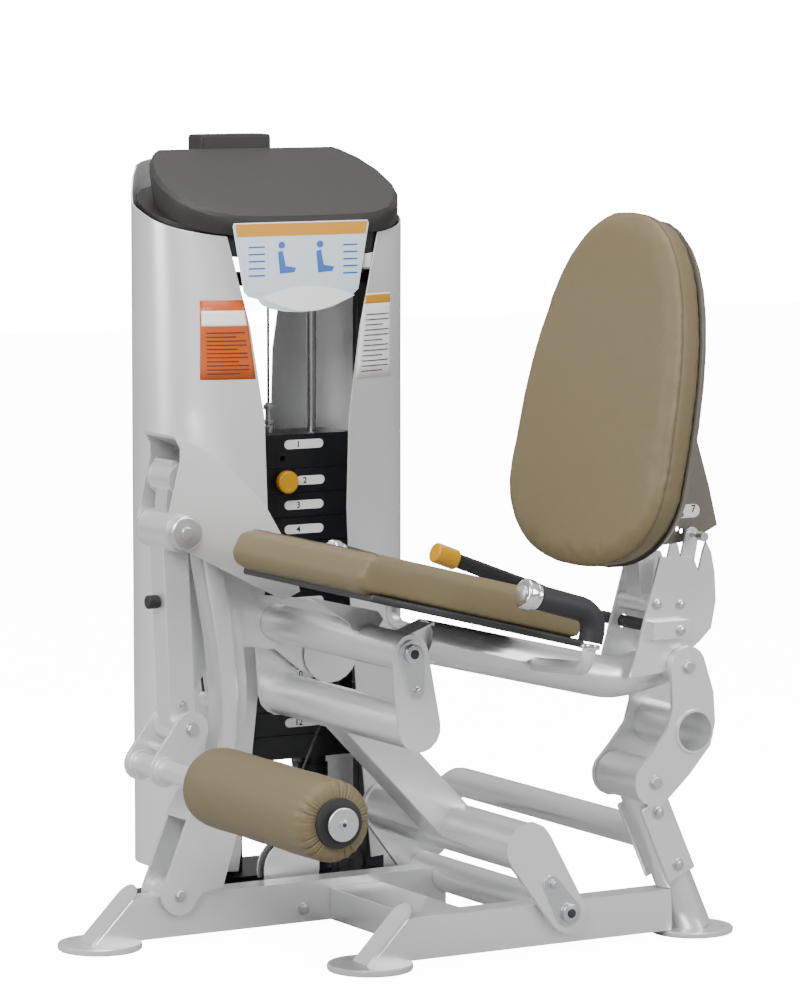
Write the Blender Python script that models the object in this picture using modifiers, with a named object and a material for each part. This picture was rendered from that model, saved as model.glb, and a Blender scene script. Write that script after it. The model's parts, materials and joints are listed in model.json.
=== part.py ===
"""Selectorised leg extension machine with a rocking seat.

Metres, +Z up. X runs from the weight stack towards the user's left side, Y from the front
(where the feet are) to the back, and the user faces -Y. Places are laid out from the front
foot under the inner floor rail, and the last step moves the origin to the middle of the
machine's footprint.
"""
import math

import bmesh
import bpy
from mathutils import Matrix, Vector

# ---------------------------------------------------------------- driving dimensions
GAP = 0.0003                     # clearance between neighbouring solids
ORIGIN = Vector((0.1667, 0.5015, 0.0))   # middle of the footprint, from the front foot

RAIL_W = 0.0508                  # floor rail: 2 in by 3 in tube
RAIL_BOTTOM = 0.011
RAIL_TOP = 0.0875
OUTER_X = 0.400                  # centre of the outer floor rail, the seat and the rear link
CROSS_TOP = 0.072

FOOT_R = 0.076                   # 6 in floor plates
FOOT_T = 0.0105

# pivot axes, all parallel to X, as (y, z)
LINK_BASE = (0.141, 0.089)       # ground link on the inner rail
LINK_HEAD = (0.150, 0.839)       # ground link to the head of the lever arm
ARM_PIVOT = (0.142, 0.746)       # lever arm on the seat frame, level with the knee
FRONT_LOW = (0.708, 0.071)       # front rocker on the base
FRONT_TOP = (0.387, 0.558)       # front rocker to the seat frame
REAR_LOW = (0.875, 0.295)        # rear rocker on the post
REAR_TOP = (0.944, 0.499)        # rear rocker to the seat frame
SWING = (0.161, 0.390)           # roller swing plates on the lever arm
ROLLER = (0.107, 0.3205)         # roller axis
BACK_PIVOT = (0.886, 0.611)      # back rest frame on the seat frame
LOCK_R = 0.145                   # from the back pivot to the row of lock holes
LOCK_ANGLE = 58.4                # direction of the lock pin from the back pivot, in degrees
LOCK_STEP = 4.0                  # between neighbouring lock holes, in degrees

# weight tower
TOWER = (-0.260, 0.489)          # centre of the tower in plan
TOWER_HALF_DEPTH = 0.152
TOWER_HALF_WIDTH = 0.260
TOWER_BOTTOM = 0.088
SKIN = 0.003
PLATE_PITCH = 0.0455
PLATE_COUNT = 13                 # the head plate and twelve more
HEAD_HEIGHT = 0.064
STACK_BASE = 0.273               # underside of the lowest plate
ROD_SPACING = 0.184

# cable pulleys, as (x, y, z)
BASE_PULLEY = (-0.0615, 0.419, 0.097)
BASE_PULLEY_R = 0.052
SEAT_PULLEY = (-0.0570, 0.497, 0.495)
LINK_PULLEY = (-0.0570, 0.269, 0.572)
SEAT_PULLEY_R = 0.050

# seat
SEAT_SLOPE = math.radians(-14.3)     # the seat falls towards the back
SEAT_FRONT = (0.165, 0.7045)         # underside of the pad at its front edge
SEAT_LENGTH = 0.468
SEAT_WIDTH = 0.470
PAD_T = 0.062
BOARD_T = 0.014

# controls
HANDLE_REACH = 0.333             # from the middle of the seat out to each hand grip
LEVER_PIVOT = (0.885, 0.5720)    # cross rod of the back rest release
LEVER_X = 0.135


# ---------------------------------------------------------------- scene and materials
def empty_scene():
    """Remove every object of the startup scene."""
    for obj in list(bpy.data.objects):
        bpy.data.objects.remove(obj, do_unlink=True)


def collection(name):
    """A new collection under the scene."""
    col = bpy.data.collections.new(name)
    bpy.context.scene.collection.children.link(col)
    return col


empty_scene()
PARTS = collection("leg_extension_machine")
CUTTERS = collection("cutters")
MATERIALS = {}


def material(name, color, roughness, metallic=0.0):
    """A plain coloured surface, filed by name."""
    mat = bpy.data.materials.new(name)
    mat.use_nodes = True
    shader = mat.node_tree.nodes["Principled BSDF"]
    shader.inputs["Base Color"].default_value = (*color, 1.0)
    shader.inputs["Roughness"].default_value = roughness
    shader.inputs["Metallic"].default_value = metallic
    MATERIALS[name] = mat


material("silver_paint", (0.62, 0.62, 0.62), 0.38, 0.35)
material("shroud_paint", (0.66, 0.66, 0.66), 0.34, 0.25)
material("vinyl", (0.33, 0.28, 0.18), 0.55)
material("dark_plastic", (0.10, 0.098, 0.095), 0.45)
material("black_paint", (0.018, 0.02, 0.022), 0.45)
material("zinc", (0.62, 0.66, 0.67), 0.32, 0.9)
material("chrome", (0.8, 0.8, 0.8), 0.12, 1.0)
material("rubber", (0.035, 0.035, 0.037), 0.6)
material("yellow_plastic", (0.85, 0.55, 0.04), 0.35)
material("taupe_paint", (0.24, 0.22, 0.20), 0.4, 0.2)
material("label", (0.85, 0.85, 0.85), 0.4)
material("steel_rope", (0.05, 0.05, 0.055), 0.4, 0.4)


# ---------------------------------------------------------------- mesh helpers
def publish(obj, mat, sharp=35.0):
    """Name the material, shade round faces smooth and file the object with the parts."""
    obj.data.materials.clear()
    obj.data.materials.append(MATERIALS[mat])
    if obj.type == "MESH":
        obj.data.shade_smooth()
        obj.data.set_sharp_from_angle(angle=math.radians(sharp))
    for col in list(obj.users_collection):
        col.objects.unlink(obj)
    PARTS.objects.link(obj)
    return obj


def to_object(bm, name="piece"):
    """Turn a bmesh into an object filed with the helpers."""
    mesh = bpy.data.meshes.new(name)
    bmesh.ops.recalc_face_normals(bm, faces=bm.faces)
    bm.to_mesh(mesh)
    bm.free()
    obj = bpy.data.objects.new(name, mesh)
    CUTTERS.objects.link(obj)
    return obj


def baked(obj):
    """The object with its modifiers and its place applied, as a plain mesh."""
    bpy.context.view_layer.update()
    graph = bpy.context.evaluated_depsgraph_get()
    mesh = bpy.data.meshes.new_from_object(obj.evaluated_get(graph), depsgraph=graph)
    mesh.transform(obj.matrix_world)
    bm = bmesh.new()
    bm.from_mesh(mesh)
    if obj.type != "MESH":
        bmesh.ops.remove_doubles(bm, verts=bm.verts, dist=0.00002)
    bmesh.ops.recalc_face_normals(bm, faces=bm.faces)
    bm.to_mesh(mesh)
    bm.free()
    name = obj.name
    bpy.data.objects.remove(obj, do_unlink=True)
    new = bpy.data.objects.new(name, mesh)
    CUTTERS.objects.link(new)
    return new


def boolean(target, tool, operation):
    """Union or difference of two closed meshes; the tool is used up."""
    mod = target.modifiers.new(operation.lower(), "BOOLEAN")
    mod.operation = operation
    mod.solver = "EXACT"
    mod.object = tool
    result = baked(target)
    bpy.data.objects.remove(tool, do_unlink=True)
    return result


def union(*pieces):
    """Join closed meshes that overlap into one."""
    result = pieces[0]
    for piece in pieces[1:]:
        result = boolean(result, piece, "UNION")
    return result


def cut(target, *tools):
    """Take closed meshes away from one."""
    for tool in tools:
        target = boolean(target, tool, "DIFFERENCE")
    return target


def node(name, piece, mat, sharp=35.0):
    """Name a finished piece and publish it."""
    piece.name = name
    piece.data.name = name
    return publish(piece, mat, sharp)


def box(low, high):
    """A block between two opposite corners."""
    low, high = Vector(low), Vector(high)
    bm = bmesh.new()
    size = high - low
    place = Matrix.Translation((low + high) / 2) @ Matrix.Diagonal((*size, 1.0))
    bmesh.ops.create_cube(bm, size=1.0, matrix=place)
    return to_object(bm)


def cylinder_x(yz, radius, x0, x1, sides=20):
    """A round bar along X from x0 to x1."""
    bm = bmesh.new()
    place = Matrix.Translation(((x0 + x1) / 2, *yz)) @ Matrix.Rotation(math.pi / 2, 4, "Y")
    bmesh.ops.create_cone(bm, cap_ends=True, segments=sides, radius1=radius, radius2=radius,
                          depth=x1 - x0, matrix=place)
    return to_object(bm)


def cylinder_z(xy, radius, z0, z1, sides=24, top=None):
    """A round bar along Z, or a cone where the top has its own radius."""
    bm = bmesh.new()
    place = Matrix.Translation((*xy, (z0 + z1) / 2))
    bmesh.ops.create_cone(bm, cap_ends=True, segments=sides, radius1=radius,
                          radius2=radius if top is None else top, depth=z1 - z0, matrix=place)
    return to_object(bm)


def bar(start, end, radius, sides=18):
    """A round bar between two points."""
    start, end = Vector(start), Vector(end)
    bm = bmesh.new()
    turn = (end - start).to_track_quat("Z", "Y").to_matrix().to_4x4()
    place = Matrix.Translation((start + end) / 2) @ turn
    bmesh.ops.create_cone(bm, cap_ends=True, segments=sides, radius1=radius, radius2=radius,
                          depth=(end - start).length, matrix=place)
    return to_object(bm)


def rounded(points, steps=4):
    """A path whose inner points (x, y, z, bend radius) are turned into arcs."""
    path = []
    for index, point in enumerate(points):
        here = Vector(point[:3])
        radius = point[3] if len(point) > 3 else 0.0
        if radius == 0.0 or index in (0, len(points) - 1):
            path.append(here)
            continue
        back = (Vector(points[index - 1][:3]) - here).normalized()
        on = (Vector(points[index + 1][:3]) - here).normalized()
        half = back.angle(on) / 2
        reach = radius / math.tan(half)
        centre = here + (back + on).normalized() * (radius / math.sin(half))
        first = (here + back * reach - centre).normalized()
        last = (here + on * reach - centre).normalized()
        for step in range(steps + 1):
            path.append(centre + first.slerp(last, step / steps) * radius)
    return path


def tube(points, radius, resolution=3, steps=4):
    """A bent round bar with filled ends, as a mesh."""
    path = rounded(points, steps)
    curve = bpy.data.curves.new("tube", "CURVE")
    curve.dimensions = "3D"
    curve.bevel_depth = radius
    curve.bevel_resolution = resolution
    curve.use_fill_caps = True
    spline = curve.splines.new("POLY")
    spline.points.add(len(path) - 1)
    for knot, place in zip(spline.points, path):
        knot.co = (*place, 1.0)
    obj = bpy.data.objects.new("tube", curve)
    CUTTERS.objects.link(obj)
    return baked(obj)


def arc(centre, radius, start, stop, steps):
    """Points on an arc in a plane, from the start angle to the stop angle in degrees."""
    points = []
    for step in range(steps + 1):
        angle = math.radians(start + (stop - start) * step / steps)
        points.append((centre[0] + radius * math.cos(angle), centre[1] + radius * math.sin(angle)))
    return points


def outline_x(points, x0, x1, holes=()):
    """A flat outline in (y, z), extruded along X from x0 to x1, with round holes."""
    curve = bpy.data.curves.new("outline", "CURVE")
    curve.dimensions = "2D"
    curve.fill_mode = "BOTH"
    curve.extrude = (x1 - x0) / 2
    loops = [list(points)]
    for centre, radius, sides in holes:
        loops.append(arc(centre, radius, 360.0, 360.0 / sides, sides - 1))
    for loop in loops:
        spline = curve.splines.new("POLY")
        spline.points.add(len(loop) - 1)
        for knot, (u, v) in zip(spline.points, loop):
            knot.co = (u, v, 0.0, 1.0)
        spline.use_cyclic_u = True
    obj = bpy.data.objects.new("outline", curve)
    CUTTERS.objects.link(obj)
    basis = Matrix(((0, 0, 1, (x0 + x1) / 2), (1, 0, 0, 0), (0, 1, 0, 0), (0, 0, 0, 1)))
    obj.matrix_world = basis
    return baked(obj)


def capsule(first, second, r1, r2, steps=8):
    """The outline round two circles joined by their outer tangents."""
    first, second = Vector(first), Vector(second)
    axis = second - first
    heading = math.degrees(math.atan2(axis.y, axis.x))
    lean = math.degrees(math.asin((r1 - r2) / axis.length))
    points = arc(first, r1, heading + 90 - lean, heading + 270 + lean, steps)
    points += arc(second, r2, heading - 90 + lean, heading + 90 - lean, steps)
    return points


def rim(piece, width, segments=2, angle=40.0):
    """Round the sharp edges of a mesh."""
    mod = piece.modifiers.new("rim", "BEVEL")
    mod.width = width
    mod.segments = segments
    mod.limit_method = "ANGLE"
    mod.angle_limit = math.radians(angle)
    return baked(piece)


def hex_bolt(x, yz, size=0.0095, side=1.0, height=0.006):
    """A hexagon head with a washer, its axis along X, standing on a face at x."""
    washer = cylinder_x(yz, size * 1.28, *sorted((x, x + side * 0.002)), sides=16)
    start, stop = sorted((x + side * 0.0018, x + side * (0.002 + height)))
    return union(washer, cylinder_x(yz, size, start, stop, sides=6))


def through_pin(yz, radius, x0, x1, size=0.0095, height=0.006):
    """A bolt across a joint: a shaft with a hexagonal head outside each face."""
    shaft = cylinder_x(yz, radius, x0 - 0.001, x1 + 0.001, 16)
    return union(shaft, hex_bolt(x1, yz, size, 1.0, height), hex_bolt(x0, yz, size, -1.0, height))


def between(a, b, t):
    """The point a fraction t of the way from a to b."""
    return tuple(p + (q - p) * t for p, q in zip(a, b))


def seat_point(along, above):
    """(y, z) of a place on the seat: along it from the front, and above the pad's underside."""
    direction = Vector((math.cos(SEAT_SLOPE), math.sin(SEAT_SLOPE)))
    normal = Vector((-direction.y, direction.x))
    place = Vector(SEAT_FRONT) + direction * along + normal * above
    return place.x, place.y


def lock_place(step=0):
    """(y, z) of the lock pin, or of a later hole of the sector plate."""
    angle = math.radians(LOCK_ANGLE + step * LOCK_STEP)
    return BACK_PIVOT[0] + LOCK_R * math.cos(angle), BACK_PIVOT[1] + LOCK_R * math.sin(angle)


# ---------------------------------------------------------------- floor frame
def sloped_rail(x, front, back):
    """A rectangular rail whose front end is cut back and closed by a round-topped strap."""
    half = RAIL_W / 2
    rise = RAIL_TOP - RAIL_BOTTOM
    toe = (front, RAIL_BOTTOM)
    outline = [toe, (back, RAIL_BOTTOM), (back, RAIL_TOP), (front + rise, RAIL_TOP)]
    rail = rim(outline_x(outline, x - half, x + half), 0.003, 1)
    strap = []
    top = rise * 1.414 + 0.004
    for u, v in [(-half, 0.0), (half, 0.0)] + arc((0, top), half, 0, 180, 8):
        strap.append((u, v))
    curve = bpy.data.curves.new("strap", "CURVE")
    curve.dimensions = "2D"
    curve.fill_mode = "BOTH"
    curve.extrude = 0.003
    spline = curve.splines.new("POLY")
    spline.points.add(len(strap) - 1)
    for knot, (u, v) in zip(spline.points, strap):
        knot.co = (u, v, 0.0, 1.0)
    spline.use_cyclic_u = True
    obj = bpy.data.objects.new("strap", curve)
    CUTTERS.objects.link(obj)
    slope = math.radians(45)
    obj.matrix_world = (Matrix.Translation((x, front - 0.0018, RAIL_BOTTOM))
                        @ Matrix.Rotation(slope, 4, "X"))
    return union(rail, baked(obj))


def floor_plate(x, y, hole_angle, top=FOOT_T):
    """A round plate on the floor with one screw hole."""
    plate = cylinder_z((x, y), FOOT_R, 0.0, top, 24)
    reach = FOOT_R - 0.020
    spot = (x + reach * math.cos(hole_angle), y + reach * math.sin(hole_angle))
    return cut(rim(plate, 0.002, 1), cylinder_z(spot, 0.0065, -0.01, 0.03, 12))


def base_frame():
    """Floor rails, cross tube, pivot tube, rear post and the brace to the tower."""
    half = RAIL_W / 2
    inner = sloped_rail(0.0, -0.026, FRONT_LOW[0])
    inner = cut(inner, cylinder_x(FRONT_LOW, 0.0325, -0.1, 0.1))
    inner = union(inner, cylinder_x(LINK_BASE, 0.0255, -0.0335, 0.0335))
    inner = cut(inner, cylinder_x(LINK_BASE, 0.0090, -0.05, 0.05, 16))
    node("base_rail_inner", union(inner, floor_plate(0.0, 0.0, -2.5, 0.012)), "silver_paint")
    outer = sloped_rail(OUTER_X, 0.310, 0.945)
    post_bore = bar((OUTER_X, 1.005, 0.0), (OUTER_X, *REAR_LOW), 0.0355)
    boss = cylinder_x(FRONT_LOW, 0.036, OUTER_X + half - 0.001, OUTER_X + half + 0.009)
    outer = union(cut(outer, post_bore), boss)
    outer = cut(outer, cylinder_x(FRONT_LOW, 0.0126, OUTER_X + 0.014, OUTER_X + 0.050, 16))
    node("base_rail_outer", union(outer, floor_plate(OUTER_X, 0.327, -2.5, 0.012)), "silver_paint")

    cross = box((half + GAP, 0.458, RAIL_BOTTOM), (OUTER_X - half - GAP, 0.568, CROSS_TOP))
    node("base_cross_tube", rim(cross, 0.004, 2), "silver_paint")
    pivot_tube = cylinder_x(FRONT_LOW, 0.032, -0.0632, OUTER_X - half - GAP)
    pivot_tube = cut(pivot_tube, cylinder_x(FRONT_LOW, 0.0126, -0.080, -0.044, 16))
    node("front_pivot_tube", pivot_tube, "silver_paint")

    post = bar((OUTER_X, 1.003, FOOT_T + GAP), (OUTER_X, *REAR_LOW), 0.035)
    floor_side = box((0.2, 0.7, -0.1), (0.6, 1.2, FOOT_T - 0.002))
    head = cylinder_x(REAR_LOW, 0.040, OUTER_X - 0.062, OUTER_X + 0.062, 28)
    post = union(cut(post, floor_side), head)
    post = cut(post, cylinder_x(REAR_LOW, 0.0110, 0.3, 0.5, 16))
    axis = Vector((1.003 - REAR_LOW[0], FOOT_T - REAR_LOW[1])).normalized()
    brace = Vector((0.924, 0.183))
    high, low = brace - axis * 0.053, brace + axis * 0.053
    across = Vector((axis.y, -axis.x))
    corners = [high - axis * 0.024 - across * 0.031, high - axis * 0.024 + across * 0.031,
               low + axis * 0.024 + across * 0.031, low + axis * 0.024 - across * 0.031]
    plates = [rim(outline_x([tuple(p) for p in corners], x, x + 0.008), 0.012, 2, 60)
              for x in (OUTER_X + 0.0333, OUTER_X - 0.0413)]
    plates[1] = cut(plates[1], cylinder_x(brace, 0.0295, 0.3, OUTER_X - 0.0345))
    post = union(post, floor_plate(OUTER_X, 1.003, 0.9), *plates)
    node("rear_post", post, "silver_paint")
    turn_x = TOWER[0] - 0.085
    brace_path = [(OUTER_X - 0.0356, *brace), (turn_x, *brace, 0.07), (turn_x, brace.x, 0.045, 0.07),
                  (turn_x, TOWER[1] + 0.200 + GAP, 0.045)]
    node("rear_brace_tube", tube(brace_path, 0.029, 4, 5), "silver_paint")


# ---------------------------------------------------------------- weight tower
def tower_plan(angle, depth, width, power=2.6):
    """A point on the tower's rounded plan; angle 0 faces +X."""
    c, s = math.cos(angle), math.sin(angle)
    x = TOWER[0] + depth * math.copysign(abs(c) ** (2 / power), c)
    y = TOWER[1] + width * math.copysign(abs(s) ** (2 / power), s)
    return x, y


def opening_half(z):
    """Half width of the front and back openings of the shroud at a height."""
    narrow = 0.084
    above = max(0.0, z - 0.86)
    below = max(0.0, 0.80 - z)
    return narrow + 0.30 * above ** 1.7 + 0.10 * below ** 1.6


def wing_top(x):
    """Height of the shroud's upper edge: it climbs backwards and steps up at the rear."""
    run = TOWER[0] + TOWER_HALF_DEPTH - x
    step = min(1.0, max(0.0, (run - 0.205) / 0.055))
    return 1.254 + 0.30 * run + 0.055 * step * step * (3 - 2 * step)


def wing(side):
    """One half of the shroud: a bent sheet round one end of the tower."""
    levels, columns = 8, 17
    bm = bmesh.new()
    rows = []
    for level in range(levels):
        t = level / (levels - 1)
        row = []
        z_mid = TOWER_BOTTOM + t * (1.30 - TOWER_BOTTOM)
        half = opening_half(z_mid)
        reach = math.asin((half / TOWER_HALF_WIDTH) ** 1.3)
        for column in range(columns):
            angle = reach + (math.pi - 2 * reach) * column / (columns - 1)
            x, y = tower_plan(side * angle, TOWER_HALF_DEPTH, TOWER_HALF_WIDTH)
            z = TOWER_BOTTOM + t * (wing_top(x) - TOWER_BOTTOM)
            row.append(bm.verts.new((x, y, z)))
        rows.append(row)
    for low, high in zip(rows, rows[1:]):
        for column in range(columns - 1):
            bm.faces.new((low[column], low[column + 1], high[column + 1], high[column]))
    obj = to_object(bm)
    mod = obj.modifiers.new("sheet", "SOLIDIFY")
    mod.thickness = SKIN
    mod.offset = -1.0 if side > 0 else 1.0
    mod.use_even_offset = True
    return baked(obj)


def tower_cap():
    """The moulded top: a skirt inside the wings, a sloping lid over it and a bottle tray behind."""
    bm = bmesh.new()
    rings = []
    count = 28
    for base in (1.215, 1.262):
        ring = []
        for index in range(count):
            x, y = tower_plan(2 * math.pi * index / count, TOWER_HALF_DEPTH - 0.006, TOWER_HALF_WIDTH - 0.006)
            ring.append(bm.verts.new((x, y, base + 0.30 * (TOWER[0] + TOWER_HALF_DEPTH - x))))
        rings.append(ring)
    for index in range(count):
        following = (index + 1) % count
        bm.faces.new((rings[0][index], rings[0][following], rings[1][following], rings[1][index]))
    bm.faces.new(rings[1])
    skirt = to_object(bm)
    mod = skirt.modifiers.new("wall", "SOLIDIFY")
    mod.thickness = 0.004
    mod.offset = -1.0
    skirt = baked(skirt)

    half = [(-0.102, 0.0), (-0.103, 0.100), (-0.108, 0.150), (-0.124, 0.190), (-0.145, 0.215),
            (-0.178, 0.234), (-0.215, 0.243), (-0.255, 0.240), (-0.300, 0.224), (-0.330, 0.202),
            (-0.341, 0.190)]
    plan = half + [(x, -y) for x, y in half[:0:-1]]
    bm = bmesh.new()
    rings = []
    for inset, drop in ((0.006, None), (0.0, 0.020), (0.0, 0.006), (0.006, 0.0)):
        ring = []
        for x, y in plan:
            shrink = 1 - inset / 0.2
            x = -0.222 + (x + 0.222) * shrink
            y = TOWER[1] - 0.002 + y * shrink
            if drop is None:
                z = 1.260 + 0.30 * (-0.108 - x)
            else:
                z = 1.293 + 0.50 * (-0.102 - x) - drop
            ring.append(bm.verts.new((x, y, z)))
        rings.append(ring)
    for low, high in zip(rings, rings[1:]):
        for index in range(len(plan)):
            following = (index + 1) % len(plan)
            bm.faces.new((low[index], low[following], high[following], high[index]))
    bm.faces.new(rings[0][::-1])
    bm.faces.new(rings[-1])
    lid = to_object(bm)
    tray = box((-0.404, 0.395, 1.338), (-0.3445, 0.545, 1.438))
    hollow = box((-0.399, 0.400, 1.352), (-0.350, 0.540, 1.50))
    return union(skirt, lid, cut(rim(tray, 0.008, 2), hollow))


def weight_plate(x, y, z, height=PLATE_PITCH - 0.0006):
    """An iron plate with two guide holes and a selector rod hole."""
    front, half_y = 0.055, 0.150
    curve = bpy.data.curves.new("plate", "CURVE")
    curve.dimensions = "2D"
    curve.fill_mode = "BOTH"
    curve.extrude = height / 2
    corner = 0.008
    loop = []
    for cx, cy, start in ((front - corner, half_y - corner, 0), (corner - 0.055, half_y - corner, 90),
                          (corner - 0.055, corner - half_y, 180), (front - corner, corner - half_y, 270)):
        loop += arc((cx, cy), corner, start, start + 90, 1)
    loops = [loop]
    for hole_y, radius in ((-ROD_SPACING / 2, 0.0115), (0.0, 0.0145), (ROD_SPACING / 2, 0.0115)):
        loops.append(arc((0.0, hole_y), radius, 360, 30, 11))
    for points in loops:
        spline = curve.splines.new("POLY")
        spline.points.add(len(points) - 1)
        for knot, (u, v) in zip(spline.points, points):
            knot.co = (u, v, 0.0, 1.0)
        spline.use_cyclic_u = True
    obj = bpy.data.objects.new("plate", curve)
    CUTTERS.objects.link(obj)
    obj.matrix_world = Matrix.Translation((x, y, z + height / 2))
    return baked(obj)


def resting_stack():
    """The plates under the selector pin, stacked metal to metal with a groove between neighbours."""
    count, deep, gap, half_y = PLATE_COUNT - 2, 0.055, 0.0012, 0.150
    side = [(deep, STACK_BASE)]
    for index in range(1, count):
        z = STACK_BASE + index * PLATE_PITCH
        side += [(deep, z - gap), (deep - 0.004, z - gap), (deep - 0.004, z), (deep, z)]
    side.append((deep, STACK_BASE + count * PLATE_PITCH - 0.0006))
    outline = side + [(-u, z) for u, z in side[::-1]]
    block = outline_x(outline, -half_y, half_y)
    block.matrix_world = Matrix.Translation((*TOWER, 0.0)) @ Matrix.Rotation(math.radians(90), 4, "Z")
    block = baked(block)
    for offset, radius in ((-ROD_SPACING / 2, 0.0115), (0.0, 0.0145), (ROD_SPACING / 2, 0.0115)):
        block = cut(block, cylinder_z((TOWER[0], TOWER[1] + offset), radius, 0.2, 0.9, 12))
    return block


def turned(profile, centre, axis, steps=20):
    """A closed profile of (radius, height) points, top to bottom outside, turned about an axis."""
    bm = bmesh.new()
    verts = [bm.verts.new((r, 0.0, h)) for r, h in profile]
    for first, second in zip(verts, verts[1:] + verts[:1]):
        bm.edges.new((first, second))
    obj = to_object(bm)
    mod = obj.modifiers.new("turn", "SCREW")
    mod.steps = steps
    mod.render_steps = steps
    mod.merge_threshold = 0.00005
    mod.use_merge_vertices = True
    mod.use_normal_calculate = True
    turn = Vector(axis).to_track_quat("Z", "Y").to_matrix().to_4x4()
    obj.matrix_world = Matrix.Translation(centre) @ turn
    return baked(obj)


def pulley(centre, radius, axis=(1.0, 0.0, 0.0), width=0.018, bore=0.008):
    """A grooved wheel at a centre (x, y, z), turned about a level axis."""
    half = width / 2
    profile = [(radius, half), (radius - 0.006, 0.0015), (radius - 0.006, -0.0015), (radius, -half),
               (bore, -half), (bore, half)]
    return turned(profile, centre, axis)


def level_frame(origin, direction):
    """A frame at an origin whose x runs along a level direction and whose z is up."""
    x = Vector((*direction, 0.0)).normalized()
    y = Vector((-x.y, x.x, 0.0))
    turn = Matrix((x, y, (0.0, 0.0, 1.0))).transposed().to_4x4()
    return Matrix.Translation(origin) @ turn


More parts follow.
